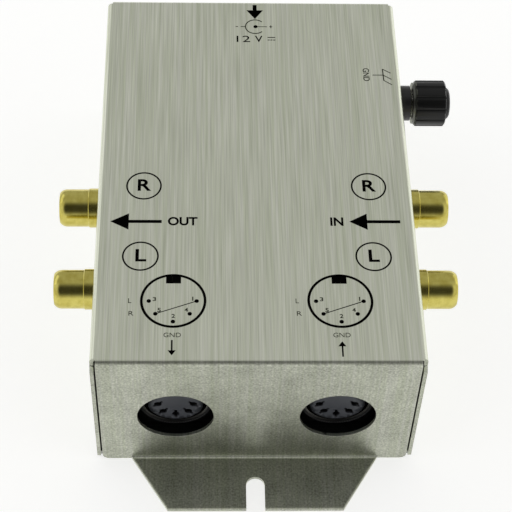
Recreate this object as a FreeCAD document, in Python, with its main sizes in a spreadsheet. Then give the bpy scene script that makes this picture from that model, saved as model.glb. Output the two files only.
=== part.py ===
import FreeCAD, Part
import itertools
import math
import os
import Sketcher

# A stereo phono preamplifier in a folded sheet-metal case, in millimetres.
# +X is towards the input side, +Y towards the power socket, +Z up.
# The origin is the middle of the case's underside.

doc = FreeCAD.newDocument("phono_preamp")
sheet = doc.addObject("Spreadsheet::Sheet", "Sizes")
nodes = []


class Size:
    """A length with its number and the sheet formula that it comes from."""

    def __init__(self, value, formula):
        self.value = value
        self.formula = formula

    def __add__(self, other):
        other = as_size(other)
        return Size(self.value + other.value, f"({self.formula} + {other.formula})")

    def __sub__(self, other):
        other = as_size(other)
        return Size(self.value - other.value, f"({self.formula} - {other.formula})")

    def __mul__(self, other):
        other = as_size(other)
        return Size(self.value * other.value, f"({self.formula} * {other.formula})")

    def __truediv__(self, other):
        other = as_size(other)
        return Size(self.value / other.value, f"({self.formula} / {other.formula})")

    def __neg__(self):
        return Size(-self.value, f"(0 - {self.formula})")

    def __radd__(self, other):
        return as_size(other) + self

    def __rsub__(self, other):
        return as_size(other) - self

    def __rmul__(self, other):
        return as_size(other) * self


def as_size(number):
    """A plain number as a Size, so that both can be used in a sum."""
    if isinstance(number, Size):
        return number
    return Size(float(number), f"({float(number)!r})")


sheet_rows = itertools.count(1)


def size(alias, value):
    """Write one driving dimension to the sheet and give it back as a Size."""
    row = next(sheet_rows)
    sheet.set(f"A{row}", alias)
    sheet.set(f"B{row}", str(value))
    sheet.setAlias(f"B{row}", alias)
    return Size(float(value), f"Sizes.{alias}")


# The case, folded from one sheet
case_width = size("case_width", 68.0)
case_depth = size("case_depth", 104.0)
case_height = size("case_height", 36.7)
sheet_wall = size("sheet_wall", 0.8)
bend_inside = size("bend_inside", 0.4)
seam_gap = size("seam_gap", 0.35)
side_corner_drop = size("side_corner_drop", 2.4)
panel_corner = size("panel_corner", 1.5)
flange_root = size("flange_root_width", 53.4)
flange_end = size("flange_end_width", 37.4)
flange_reach = size("flange_reach", 13.0)
slot_width = size("slot_width", 4.0)
slot_reach = size("slot_length", 7.8)
tab_length = size("tab_length", 10.0)
tab_reach = size("tab_reach", 9.0)
tab_end_gap = size("tab_row_to_end", 10.0)
base_wall = size("base_wall", 1.2)
base_gap = size("base_gap", 0.3)
case_screw = size("case_screw_radius", 1.25)
case_screw_head = size("case_screw_head_radius", 2.35)
case_screw_length = size("case_screw_length", 4.6)
screw_clearance = size("screw_clearance", 0.03)
screw_slot_half = size("screw_slot_half_width", 0.3)
screw_slot_depth = size("screw_slot_depth", 0.5)
overrun = size("cut_overrun", 1.0)

# The circuit board and what carries it
board_width = size("board_width", 59.0)
board_front = size("board_front_gap", 0.5)
board_back = size("board_back_gap", 1.6)
board_wall = size("board_wall", 1.6)
standoff_height = size("standoff_height", 4.4)
standoff_radius = size("standoff_radius", 2.5)
standoff_spigot = size("standoff_spigot_radius", 2.1)
standoff_across = size("standoff_spacing_across", 51.0)
front_standoff_clearance = size("front_standoff_clearance", 2.45)
back_standoff_clearance = size("back_standoff_clearance", 6.8)
board_screw = size("board_screw_radius", 1.5)
board_screw_head = size("board_screw_head_radius", 2.75)
board_screw_head_height = size("board_screw_head_height", 1.8)
board_screw_length = size("board_screw_length", 4.8)
head_shoulder = size("head_shoulder_share", 0.55)
recess_half = size("recess_half_width", 0.35)
recess_floor = size("recess_floor_share", 0.4)
board_hole_gap = size("board_hole_gap", 0.1)

# The five-way round sockets at the front
din_spacing = size("din_spacing", 34.0)
din_height = size("din_height", 16.8)
din_hole = size("din_hole_radius", 8.0)
din_recess = size("din_recess", 3.1)
din_boss = size("din_boss_radius", 7.6)
din_boss_length = size("din_boss_length", 1.2)
din_insert = size("din_insert_radius", 5.8)
din_groove = size("din_groove_radius", 6.9)
din_groove_depth = size("din_groove_depth", 7.5)
din_key = size("din_key_width", 2.6)
din_key_gap = size("din_key_gap", 0.2)
din_key_root = size("din_key_root", 0.3)
din_key_setback = size("din_key_setback", 0.5)
din_width = size("din_body_width", 20.0)
din_head_room = size("din_body_above_axis", 9.2)
din_length = size("din_body_length", 12.0)
din_pin_circle = size("din_pin_circle_radius", 3.75)
din_pin_hole = size("din_pin_hole_radius", 0.8)
din_slit_length = size("din_slit_length", 2.9)
din_slit_width = size("din_slit_width", 0.55)
din_shield_wall = size("din_shield_wall", 0.25)
din_shield_setback = size("din_shield_setback", 0.4)
din_contact = size("din_contact_radius", 0.75)
din_contact_bore = size("din_contact_bore_radius", 0.5)
din_contact_recess = size("din_contact_recess", 1.4)
din_leg = size("din_leg_width", 0.6)
din_leg_row = size("din_leg_row_step", 2.5)
din_leg_setback = size("din_leg_setback", 0.6)
leg_hole = size("leg_hole_radius", 0.5)
leg_below = size("leg_below_board", 1.4)

# The phono sockets at the sides
phono_drop = size("phono_drop", 9.0)
phono_right = size("phono_right_place", -4.7)
phono_left = size("phono_left_place", -27.0)
phono_shell = size("phono_shell_radius", 4.15)
phono_bore = size("phono_shell_bore_radius", 3.45)
phono_reach = size("phono_reach", 8.75)
phono_nose = size("phono_nose_length", 1.55)
phono_collar = size("phono_collar_radius", 4.35)
phono_collar_length = size("phono_collar_length", 2.45)
phono_floor = size("phono_floor", 1.2)
phono_bush = size("phono_bush_radius", 3.0)
phono_bush_length = size("phono_bush_length", 7.0)
phono_bush_bore = size("phono_bush_bore_radius", 1.9)
phono_fit = size("phono_fit", 0.05)
phono_insulator_recess = size("phono_insulator_recess", 1.9)
phono_contact = size("phono_contact_radius", 2.0)
phono_contact_bore = size("phono_contact_bore_radius", 1.6)
phono_contact_recess = size("phono_contact_recess", 2.3)
phono_contact_depth = size("phono_contact_depth", 4.9)
phono_contact_slit = size("phono_contact_slit", 0.4)
phono_contact_floor = size("phono_contact_floor", 0.8)
phono_slit_start = size("phono_slit_start", 0.6)
phono_tail = size("phono_tail_radius", 0.75)
phono_tail_length = size("phono_tail_length", 3.0)
phono_nut_flats = size("phono_nut_across_flats", 8.0)
phono_nut_height = size("phono_nut_height", 2.4)
tag_wall = size("tag_wall", 0.4)
tag_radius = size("tag_radius", 4.2)
tag_tongue = size("tag_tongue_width", 2.2)
tag_tongue_length = size("tag_tongue_length", 8.5)

# The power socket at the back
power_place = size("power_place", 0.9)
power_axis = size("power_axis_above_board", 6.5)
power_hole = size("power_hole_radius", 4.5)
power_width = size("power_body_width", 9.0)
power_height = size("power_body_height", 11.0)
power_length = size("power_body_length", 13.5)
power_gap = size("power_body_gap", 0.4)
power_bore = size("power_bore_radius", 3.15)
power_bore_depth = size("power_bore_depth", 9.5)
power_pin = size("power_pin_radius", 1.0)
power_pin_recess = size("power_pin_recess", 0.6)
power_leg = size("power_leg_width", 2.0)
power_leg_wall = size("power_leg_wall", 0.5)

# The earth terminal on the input side
post_end_gap = size("post_to_end", 24.6)
post_drop = size("post_drop", 9.0)
post_stud = size("post_stud_radius", 2.0)
post_stud_out = size("post_stud_reach", 9.6)
post_stud_in = size("post_stud_inside", 7.5)
post_flange = size("post_flange_radius", 3.5)
post_flange_wall = size("post_flange_wall", 0.5)
post_collar = size("post_collar_radius", 4.1)
post_collar_length = size("post_collar_length", 2.9)
post_shoulder = size("post_shoulder_radius", 2.95)
post_fit = size("post_fit", 0.04)
ring_radius = size("ring_radius", 4.8)
ring_wall = size("ring_wall", 0.5)
knob_radius = size("knob_radius", 5.35)
knob_length = size("knob_length", 7.1)
knob_chamfer = size("knob_chamfer", 0.35)
knob_crown = size("knob_crown_radius", 3.8)
knob_crown_height = size("knob_crown_height", 1.1)
knob_flutes = size("knob_flutes", 12)
knob_flute_radius = size("knob_flute_radius", 0.5)
flute_runout = size("knob_flute_runout", 0.01)
knob_insert = size("knob_insert_radius", 3.2)
knob_insert_length = size("knob_insert_length", 5.8)
knob_thread_room = size("knob_thread_room", 0.6)
post_washer = size("post_washer_radius", 4.2)
post_washer_wall = size("post_washer_wall", 1.0)
post_nut_flats = size("post_nut_across_flats", 7.0)
post_nut_height = size("post_nut_height", 2.6)

# The circuit on the board
chip_length = size("chip_length", 9.6)
chip_width = size("chip_width", 6.4)
chip_wall = size("chip_height", 3.3)
chip_spacing = size("chip_spacing", 20.0)
chip_place = size("chip_place", -12.0)
chip_lift = size("chip_lift", 0.3)
chip_notch = size("chip_notch_radius", 0.8)
chip_notch_depth = size("chip_notch_depth", 0.4)
chip_leg_depth = size("chip_leg_depth", 2.0)
chip_leg_room = size("chip_leg_room", 0.2)
lead_pitch = size("lead_pitch", 2.54)
chip_leg = size("chip_leg_width", 0.5)
chip_row = size("chip_row_spacing", 7.62)
chip_socket_height = size("chip_socket_height", 4.2)
chip_socket_width = size("chip_socket_width", 10.0)
chip_socket_opening = size("chip_socket_opening", 4.4)
reservoir_radius = size("reservoir_radius", 5.0)
reservoir_height = size("reservoir_height", 16.0)
reservoir_clearance = size("reservoir_clearance", 1.3)
reservoir_shift = size("reservoir_shift", 2.0)
reservoir_spacing = size("reservoir_spacing", 15.0)
coupling_radius = size("coupling_radius", 3.15)
coupling_height = size("coupling_height", 11.0)
coupling_place = size("coupling_place", 3.0)
coupling_inner = size("coupling_inner_place", 7.0)
coupling_outer = size("coupling_outer_place", 17.0)
can_crimp = size("can_crimp_depth", 0.3)
can_corner = size("can_corner", 0.6)
can_crimp_start = size("can_crimp_start_share", 0.12)
can_crimp_width = size("can_crimp_width_share", 0.08)
film_length = size("film_length", 7.2)
film_width = size("film_width", 2.6)
film_height = size("film_height", 6.5)
film_place = size("film_place", -24.0)
film_gap = size("film_gap", 1.2)
film_inner = size("film_inner_place", 5.5)
film_outer = size("film_outer_place", 14.5)
resistor_length = size("resistor_length", 6.3)
resistor_row = size("resistor_row_place", 13.5)
resistor_left = size("resistor_left_place", -24.5)
resistor_right = size("resistor_right_place", 13.5)
resistor_pitch = size("resistor_pitch", 3.5)
resistor_end = size("resistor_end_radius", 1.2)
resistor_waist = size("resistor_waist_radius", 1.0)
resistor_lead = size("resistor_lead_radius", 0.3)
resistor_span = size("resistor_lead_span", 10.16)
lead_bend = size("lead_bend_radius", 0.8)
resistor_lift = size("resistor_lift", 0.3)
regulator_place = size("regulator_place", -17.0)
regulator_forward = size("regulator_forward", 12.0)
regulator_width = size("regulator_width", 10.2)
regulator_wall = size("regulator_wall", 4.4)
regulator_height = size("regulator_height", 9.0)
regulator_lift = size("regulator_lift", 3.5)
regulator_tab_wall = size("regulator_tab_wall", 1.3)
regulator_tab_height = size("regulator_tab_height", 15.2)
regulator_hole = size("regulator_hole_radius", 1.8)
regulator_hole_drop = size("regulator_hole_drop", 2.8)
regulator_leg = size("regulator_leg_width", 0.8)
regulator_leg_wall = size("regulator_leg_wall", 0.5)
regulator_leg_place = size("regulator_leg_place", 2.0)
diode_radius = size("diode_radius", 1.35)
diode_length = size("diode_length", 5.2)
diode_aside = size("diode_aside", 14.0)
diode_behind = size("diode_behind", 1.0)
wire_radius = size("wire_radius", 0.6)
wire_bend = size("wire_bend_radius", 3.0)
wire_run = size("wire_straight_run", 1.5)

# Places that follow from the driving dimensions
side = case_width / 2
end = case_depth / 2
bend_outside = bend_inside + sheet_wall
inner_end = end - sheet_wall
inner_side = side - sheet_wall
board_low = base_wall + standoff_height
board_top = board_low + board_wall
din_face = -end + din_recess
din_front = din_face + din_boss_length
din_back = din_front + din_length
power_level = board_top + power_axis
power_front = inner_end - power_gap
power_back = power_front - power_length
phono_height = case_height - phono_drop
post_height = case_height - post_drop
post_place = end - post_end_gap
tab_row = end - tab_end_gap
regulator_front = power_back - regulator_forward
reservoir_place = regulator_front - reservoir_radius - reservoir_clearance
standoff_front = din_back + board_screw_head + front_standoff_clearance
standoff_back = power_back - back_standoff_clearance
standoff_places = [(sign * standoff_across / 2, place) for sign in (-1, 1)
                   for place in (standoff_front, standoff_back)]
tab_middle = inner_side - tab_reach / 2
case_screw_places = [(sx * tab_middle, sy * tab_row) for sx in (-1, 1) for sy in (-1, 1)]

# Turns that carry a piece's own X axis to a direction of the case
TO_RIGHT = FreeCAD.Rotation(FreeCAD.Vector(0, 0, 1), 0)
TO_LEFT = FreeCAD.Rotation(FreeCAD.Vector(0, 0, 1), 180)
TO_BACK = FreeCAD.Rotation(FreeCAD.Vector(0, 0, 1), 90)
TO_FRONT = FreeCAD.Rotation(FreeCAD.Vector(0, 0, 1), -90)
UPWARDS = FreeCAD.Rotation(FreeCAD.Vector(0, 1, 0), -90)
# The same for a cylinder, whose own axis is Z
ROD_ALONG_X = FreeCAD.Rotation(FreeCAD.Vector(0, 1, 0), 90)
ROD_ALONG_Y = FreeCAD.Rotation(FreeCAD.Vector(1, 0, 0), -90)
ROD_UP = FreeCAD.Rotation()
# A flat ring stood on edge, and the headings a level wire may take
UPRIGHT = FreeCAD.Rotation(FreeCAD.Vector(1, 0, 0), 90)
HEADINGS = {(1, 0): TO_RIGHT, (-1, 0): TO_LEFT, (0, 1): TO_BACK, (0, -1): TO_FRONT}


def place(thing, at, turn=TO_RIGHT):
    """Put a piece at a point of the case, turned as given."""
    thing.Placement = FreeCAD.Placement(FreeCAD.Vector(), turn)
    for axis, value in zip("xyz", at):
        thing.setExpression(f"Placement.Base.{axis}", as_size(value).formula)
    return thing


def new_body(name, at=(0, 0, 0), turn=TO_RIGHT):
    body = doc.addObject("PartDesign::Body", name)
    return place(body, at, turn)


def draw_circle(sketch, circle):
    """One circle, given as centre x, centre y and radius."""
    x, y, radius = [as_size(value) for value in circle]
    centre = FreeCAD.Vector(x.value, y.value, 0)
    index = sketch.addGeometry(Part.Circle(centre, FreeCAD.Vector(0, 0, 1), radius.value))
    pin_point(sketch, index, 3, x, y)
    number = sketch.addConstraint(Sketcher.Constraint("Radius", index, radius.value))
    sketch.setExpression(f"Constraints[{number}]", radius.formula)


def pin_coordinate(sketch, kind, index, point, value):
    number = sketch.addConstraint(Sketcher.Constraint(kind, -1, 1, index, point, value.value))
    sketch.setExpression(f"Constraints[{number}]", value.formula)


def pin_point(sketch, index, point, x, y):
    """Hold one point of the geometry at x, y by two dimensions from the sketch's origin."""
    pin_coordinate(sketch, "DistanceX", index, point, x)
    pin_coordinate(sketch, "DistanceY", index, point, y)


def draw_outline(sketch, corners):
    """A closed outline of corners x, y. One with a centre too starts an arc to the next corner."""
    corners = [[as_size(value) for value in corner] for corner in corners]
    first = len(sketch.Geometry)
    count = len(corners)
    for number, corner in enumerate(corners):
        after = corners[(number + 1) % count]
        start = FreeCAD.Vector(corner[0].value, corner[1].value, 0)
        stop = FreeCAD.Vector(after[0].value, after[1].value, 0)
        if len(corner) == 2:
            sketch.addGeometry(Part.LineSegment(start, stop))
            continue
        centre = FreeCAD.Vector(corner[2].value, corner[3].value, 0)
        bulge = (start + stop) / 2 - centre
        radius = (start - centre).Length
        middle = centre + bulge.normalize() * radius
        sketch.addGeometry(Part.Arc(start, middle, stop))
    for number, corner in enumerate(corners):
        index = first + number
        forwards = ends_in_order(sketch, index, corner)
        corner.append(forwards)
    for number, corner in enumerate(corners):
        index = first + number
        following = first + (number + 1) % count
        last = 2 if corner[-1] else 1
        start = 1 if corners[(number + 1) % count][-1] else 2
        sketch.addConstraint(Sketcher.Constraint("Coincident", index, last, following, start))
        pin_point(sketch, index, 1 if corner[-1] else 2, corner[0], corner[1])
        if len(corner) > 3:
            chord = FreeCAD.Vector(corners[(number + 1) % count][0].value - corner[0].value,
                                   corners[(number + 1) % count][1].value - corner[1].value, 0)
            upright = abs(chord.y) > abs(chord.x)
            kind, value = ("DistanceX", corner[2]) if upright else ("DistanceY", corner[3])
            pin_coordinate(sketch, kind, index, 3, value)


def ends_in_order(sketch, index, corner):
    """Whether a line or arc runs from its corner: the solver keeps every arc anticlockwise."""
    start = sketch.getPoint(index, 1)
    return start.distanceToPoint(FreeCAD.Vector(corner[0].value, corner[1].value, 0)) < 1e-6


def new_sketch(body, name, role, outlines, level):
    """A sketch parallel to one of the body's own planes, level away from it along +X, +Y or +Z."""
    sketch = body.newObject("Sketcher::SketchObject", name + "_sketch")
    plane = next(item for item in body.Origin.OriginFeatures if item.Role == role)
    sketch.AttachmentSupport = [(plane, "")]
    sketch.MapMode = "FlatFace"
    offset = -as_size(level) if role == "XZ_Plane" else as_size(level)
    sketch.setExpression("AttachmentOffset.Base.z", offset.formula)
    for outline in outlines:
        if isinstance(outline, tuple):
            draw_circle(sketch, outline)
        else:
            draw_outline(sketch, outline)
    return sketch


def grow(body, kind, name, role, outlines, low, high):
    """Pad or pocket between two levels along the sketch's normal."""
    low = as_size(low)
    high = as_size(high)
    sketch = new_sketch(body, name, role, outlines, (low + high) / 2)
    feature = body.newObject("PartDesign::" + kind, name)
    feature.Profile = sketch
    feature.Midplane = True
    feature.setExpression("Length", (high - low).formula)
    body.Tip = feature
    return feature


def pad(body, name, role, outlines, low, high):
    return grow(body, "Pad", name, role, outlines, low, high)


def pocket(body, name, role, outlines, low, high):
    return grow(body, "Pocket", name, role, outlines, low, high)


def turned(name, profile, at, turn=TO_RIGHT):
    """A body turned about its own X axis from a profile of distances along it and radii."""
    body = new_body(name, at, turn)
    sketch = new_sketch(body, name + "_profile", "XY_Plane", [profile], 0)
    feature = body.newObject("PartDesign::Revolution", name + "_turning")
    feature.Profile = sketch
    feature.ReferenceAxis = (sketch, ["H_Axis"])
    feature.Angle = 360
    body.Tip = feature
    return body


def tube_profile(low, high, inner, outer):
    return [(low, inner), (high, inner), (high, outer), (low, outer)]


def block(name, low, high):
    """A box from its lowest to its highest corner."""
    box = doc.addObject("Part::Box", name)
    for prop, start, stop in zip(("Length", "Width", "Height"), low, high):
        box.setExpression(prop, (as_size(stop) - as_size(start)).formula)
    return place(box, low)


def rod(name, at, radius, length, turn=ROD_UP):
    cylinder = doc.addObject("Part::Cylinder", name)
    cylinder.setExpression("Radius", as_size(radius).formula)
    cylinder.setExpression("Height", as_size(length).formula)
    return place(cylinder, at, turn)


def join(name, pieces):
    fused = doc.addObject("Part::MultiFuse", name)
    fused.Shapes = pieces
    return fused


def cut(name, base, tools):
    tool = tools[0] if len(tools) == 1 else join(name + "_tools", tools)
    result = doc.addObject("Part::Cut", name)
    result.Base = base
    result.Tool = tool
    return result


def group(name, pieces):
    """Separate solids of one kind that share a node."""
    result = doc.addObject("Part::Compound", name)
    result.Links = pieces
    return result


def keep(thing, node):
    """Name a finished sub-part and put it on the list that is written out."""
    thing.Label = node
    nodes.append(thing)
    return thing


def hexagon(across_flats):
    """The corners of a hexagon on its flats' distance, two corners up and down."""
    half = across_flats / 2
    corner = across_flats * (1 / math.sqrt(3))
    return [(half, -corner / 2), (half, corner / 2), (0, corner),
            (-half, corner / 2), (-half, -corner / 2), (0, -corner)]


def rectangle(x_low, y_low, x_high, y_high):
    return [(x_low, y_low), (x_high, y_low), (x_high, y_high), (x_low, y_high)]


def cover_channel(body):
    """The top with both sides folded down, as a bent strip."""
    low = base_wall
    top = case_height
    turn = side - bend_outside
    level = top - bend_outside
    outline = [(-side, low), (-side, level, -turn, level), (-turn, top), (turn, top, turn, level),
               (side, level), (side, low), (inner_side, low), (inner_side, level, turn, level),
               (turn, top - sheet_wall), (-turn, top - sheet_wall, -turn, level),
               (-inner_side, level), (-inner_side, low)]
    pad(body, "channel", "XZ_Plane", [outline], -end + bend_outside, end - bend_outside)


def cover_sides(body):
    """Each side runs on to the front and back faces below the bend, with its corners rounded."""
    top = case_height - side_corner_drop
    low = base_wall
    radius = panel_corner
    outline = [(-end, low), (-end, top - radius, -end + radius, top - radius), (-end + radius, top),
               (end - radius, top, end - radius, top - radius), (end, top - radius), (end, low)]
    pad(body, "left_side", "YZ_Plane", [outline], -side, -inner_side)
    pad(body, "right_side", "YZ_Plane", [outline], inner_side, side)


def cover_end(body, word, sign):
    """A front or back panel with the bend above it and the flange below it."""
    half = inner_side - seam_gap
    level = case_height - bend_outside
    low = bend_outside
    root = flange_root / 2
    radius = panel_corner
    panel = [(-half, radius, -half + radius, radius), (-half + radius, 0), (-root, 0), (-root, low),
             (root, low), (root, 0), (half - radius, 0, half - radius, radius), (half, radius),
             (half, level), (-half, level)]
    faces = sorted([sign * end, sign * inner_end], key=lambda face: face.value)
    pad(body, word + "_panel", "XZ_Plane", [panel], faces[0], faces[1])
    near = sign * (end - bend_outside)
    upper = [(sign * end, level, near, level), (near, case_height), (near, case_height - sheet_wall, near, level),
             (sign * inner_end, level)]
    turn = side - bend_outside
    pad(body, word + "_top_bend", "YZ_Plane", [upper], -turn, turn)
    far = sign * (end + bend_inside)
    tip = sign * (end + flange_reach)
    lower = [(sign * inner_end, low, far, low), (far, 0), (tip, 0), (tip, sheet_wall),
             (far, sheet_wall, far, low), (sign * end, low)]
    pad(body, word + "_flange", "YZ_Plane", [lower], -root, root)
    trim_flange(body, word, sign, root)


def trim_flange(body, word, sign, root):
    """Slant the flange's sides and cut its open slot."""
    start = sign * end
    stop = sign * (end + flange_reach + overrun)
    slope = (root - flange_end / 2) / flange_reach
    spare = root + overrun
    beyond = flange_end / 2 - slope * overrun
    for name, hand in (("left", -1), ("right", 1)):
        corner = [(hand * root, start), (hand * spare, start), (hand * spare, stop), (hand * beyond, stop)]
        pocket(body, f"{word}_{name}_slant", "XY_Plane", [corner], -overrun, bend_outside + overrun)
    half = slot_width / 2
    bottom = sign * (end + flange_reach - slot_reach + half)
    slot = [(-half, stop), (-half, bottom, 0, bottom), (0, bottom - sign * half, 0, bottom), (half, bottom),
            (half, stop)]
    pocket(body, word + "_slot", "XY_Plane", [slot], -overrun, bend_outside + overrun)


def cover_tabs(body):
    """Four tabs folded inwards from the sides, which the base plate screws to."""
    low = base_wall
    half = tab_length / 2
    turn = side - bend_outside
    reach = inner_side - tab_reach
    for number, (hand, row) in enumerate([(-1, -1), (-1, 1), (1, -1), (1, 1)]):
        level = low + bend_outside
        outline = [(hand * side, level, hand * turn, level), (hand * turn, low), (hand * reach, low),
                   (hand * reach, low + sheet_wall), (hand * turn, low + sheet_wall, hand * turn, level),
                   (hand * inner_side, level)]
        middle = row * tab_row
        pad(body, f"tab_{number}", "XZ_Plane", [outline], middle - half, middle + half)
    holes = [(x, y, case_screw + screw_clearance) for x, y in case_screw_places]
    pocket(body, "tab_holes", "XY_Plane", holes, low - overrun, low + sheet_wall + overrun)


def cover():
    """The folded cover: top, two sides, two ends with their flanges, and all the holes."""
    body = new_body("cover_body")
    cover_channel(body)
    cover_sides(body)
    cover_end(body, "front", -1)
    cover_end(body, "back", 1)
    cover_tabs(body)
    outside = 0.5
    din_holes = [(sign * din_spacing / 2, din_height, din_hole) for sign in (-1, 1)]
    pocket(body, "din_holes", "XZ_Plane", din_holes, -end - outside, -inner_end + outside)
    pocket(body, "power_hole", "XZ_Plane", [(power_place, power_level, power_hole)],
           inner_end - outside, end + outside)
    bush = phono_bush + phono_fit
    phono_holes = [(spot, phono_height, bush) for spot in (phono_left, phono_right)]
    pocket(body, "output_holes", "YZ_Plane", phono_holes, -side - outside, -inner_side + outside)
    shoulder = (post_place, post_height, post_shoulder + phono_fit)
    pocket(body, "input_holes", "YZ_Plane", phono_holes + [shoulder], inner_side - outside, side + outside)
    keep(body, "cover")


def base_plate():
    """The flat plate that closes the case, with countersunk holes and the standoffs' holes."""
    reach = inner_end - base_gap
    plate = block("base_blank", (-side, -reach, 0), (side, reach, base_wall))
    tools = []
    for number, (x, y) in enumerate(case_screw_places):
        cone = doc.addObject("Part::Cone", f"countersink_{number}")
        cone.setExpression("Radius1", (case_screw_head + screw_clearance).formula)
        cone.setExpression("Radius2", (case_screw + screw_clearance).formula)
        cone.setExpression("Height", base_wall.formula)
        tools.append(place(cone, (x, y, 0)))
    for number, (x, y) in enumerate(standoff_places):
        tools.append(rod(f"spigot_hole_{number}", (x, y, 0), standoff_spigot, base_wall))
    keep(cut("base_cut", plate, tools), "base_plate")


def base_screws():
    """Countersunk screws from below, flush with the base plate."""
    profile = [(0, 0), (0, case_screw_head), (base_wall, case_screw), (case_screw_length, case_screw),
               (case_screw_length, 0)]
    screws = []
    for number, (x, y) in enumerate(case_screw_places):
        body = turned(f"base_screw_{number}", profile, (x, y, 0), UPWARDS)
        slot = rectangle(-overrun, -case_screw_head - overrun, screw_slot_depth, case_screw_head + overrun)
        pocket(body, f"base_screw_slot_{number}", "XY_Plane", [slot], -screw_slot_half, screw_slot_half)
        screws.append(body)
    keep(group("base_screw_group", screws), "base_screws")


def standoffs():
    """Press-in hexagonal spacers with a threaded bore."""
    pieces = []
    bore = board_screw + screw_clearance
    for number, (x, y) in enumerate(standoff_places):
        body = new_body(f"standoff_{number}", (x, y, 0))
        pad(body, f"standoff_hex_{number}", "XY_Plane", [hexagon(standoff_radius * 2)], base_wall, board_low)
        pad(body, f"standoff_spigot_{number}", "XY_Plane", [(0, 0, standoff_spigot)], 0, base_wall)
        pocket(body, f"standoff_bore_{number}", "XY_Plane", [(0, 0, bore)], -overrun, board_low + overrun)
        pieces.append(body)
    keep(group("standoff_group", pieces), "board_standoffs")


def board_screws():
    """Pan-head screws that hold the board to the standoffs."""
    head = board_screw_head
    height = board_screw_head_height
    shoulder = height * head_shoulder
    profile = [(-board_screw_length, 0), (-board_screw_length, board_screw), (0, board_screw), (0, head),
               (shoulder, head, shoulder, head - height + shoulder), (height, head - height + shoulder), (height, 0)]
    pieces = []
    for number, (x, y) in enumerate(standoff_places):
        body = turned(f"board_screw_{number}", profile, (x, y, board_top), UPWARDS)
        arm = board_screw
        for word, role in (("first", "XY_Plane"), ("second", "XZ_Plane")):
            slot = rectangle(height * recess_floor, -arm, height + overrun, arm)
            pocket(body, f"board_screw_{word}_{number}", role, [slot], -recess_half, recess_half)
        pieces.append(body)
    keep(group("board_screw_group", pieces), "board_screws")


def din_pins(middle):
    """The five contact places: x, height, slit angle and how far back its leg stands."""
    pins = []
    for step, slit in ((0, -45), (1, -45), (2, 90), (3, 45), (4, 45)):
        angle = math.radians(-45 * step)
        x = middle + din_pin_circle * math.cos(angle)
        height = din_height + din_pin_circle * math.sin(angle)
        pins.append((x, height, slit, step % 2))
    return pins


def din_leg_place(row):
    return din_back + din_leg_setback + row * din_leg_row


def circuit_board():
    """The board with its mounting holes and the holes for the sockets' legs."""
    low = (-board_width / 2, -inner_end + board_front, board_low)
    high = (board_width / 2, inner_end - board_back, board_top)
    tools = []
    for number, (x, y) in enumerate(standoff_places):
        tools.append(rod(f"board_hole_{number}", (x, y, board_low), board_screw + board_hole_gap, board_wall))
    for hand in (-1, 1):
        for number, (x, height, slit, row) in enumerate(din_pins(hand * din_spacing / 2)):
            name = f"din_leg_hole_{hand + 1}_{number}"
            tools.append(rod(name, (x, din_leg_place(row), board_low), leg_hole, board_wall))
    for number, y in enumerate((power_back - power_leg_wall / 2, power_front - power_bore_depth / 2)):
        half = power_leg / 2 + board_hole_gap
        wall = power_leg_wall / 2 + board_hole_gap
        tools.append(block(f"power_leg_hole_{number}", (power_place - half, y - wall, board_low),
                           (power_place + half, y + wall, board_top)))
    keep(cut("board_cut", block("board_blank", low, high), tools), "circuit_board")


def slit_outline(x, y, angle):
    """A thin slot through a contact opening, turned by the angle."""
    along = FreeCAD.Vector(math.cos(math.radians(angle)), math.sin(math.radians(angle)), 0)
    half = din_slit_length / 2
    wall = din_slit_width / 2
    corners = []
    for a, b in ((-1, -1), (1, -1), (1, 1), (-1, 1)):
        corners.append((x + a * half * along.x - b * wall * along.y, y + a * half * along.y + b * wall * along.x))
    return corners


def din_socket(word, hand):
    """One moulded round socket: a block on the board with a round nose, groove and key."""
    middle = hand * din_spacing / 2
    body = new_body(word + "_din_moulding")
    half = din_width / 2
    shape = rectangle(middle - half, board_top, middle + half, din_height + din_head_room)
    pad(body, word + "_din_block", "XZ_Plane", [shape], din_front, din_back)
    pad(body, word + "_din_nose", "XZ_Plane", [(middle, din_height, din_boss)], din_face, din_front)
    groove_end = din_face + din_groove_depth
    circles = [(middle, din_height, din_groove), (middle, din_height, din_insert)]
    pocket(body, word + "_din_groove", "XZ_Plane", circles, din_face - overrun, groove_end)
    key = rectangle(middle - din_key / 2, din_height + din_insert - din_key_root, middle + din_key / 2,
                    din_height + din_groove - din_shield_wall - din_key_gap)
    pad(body, word + "_din_key", "XZ_Plane", [key], din_face + din_key_setback, groove_end)
    holes = [(x, y, din_pin_hole) for x, y, slit, row in din_pins(middle)]
    pocket(body, word + "_din_openings", "XZ_Plane", holes, din_face - overrun, din_back + overrun)
    slits = [slit_outline(x, y, slit) for x, y, slit, row in din_pins(middle)]
    pocket(body, word + "_din_slits", "XZ_Plane", slits, din_face - overrun, din_face + din_contact_recess)
    keep(body, word + "_din_body")


def din_shield(word, hand):
    """The sprung metal ring that lines the groove and meets the plug's shell."""
    at = (hand * din_spacing / 2, din_face + din_shield_setback, din_height)
    profile = tube_profile(0, din_groove_depth - din_shield_setback, din_groove - din_shield_wall, din_groove)
    keep(turned(word + "_din_ring", profile, at, TO_BACK), word + "_din_shield")


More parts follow.
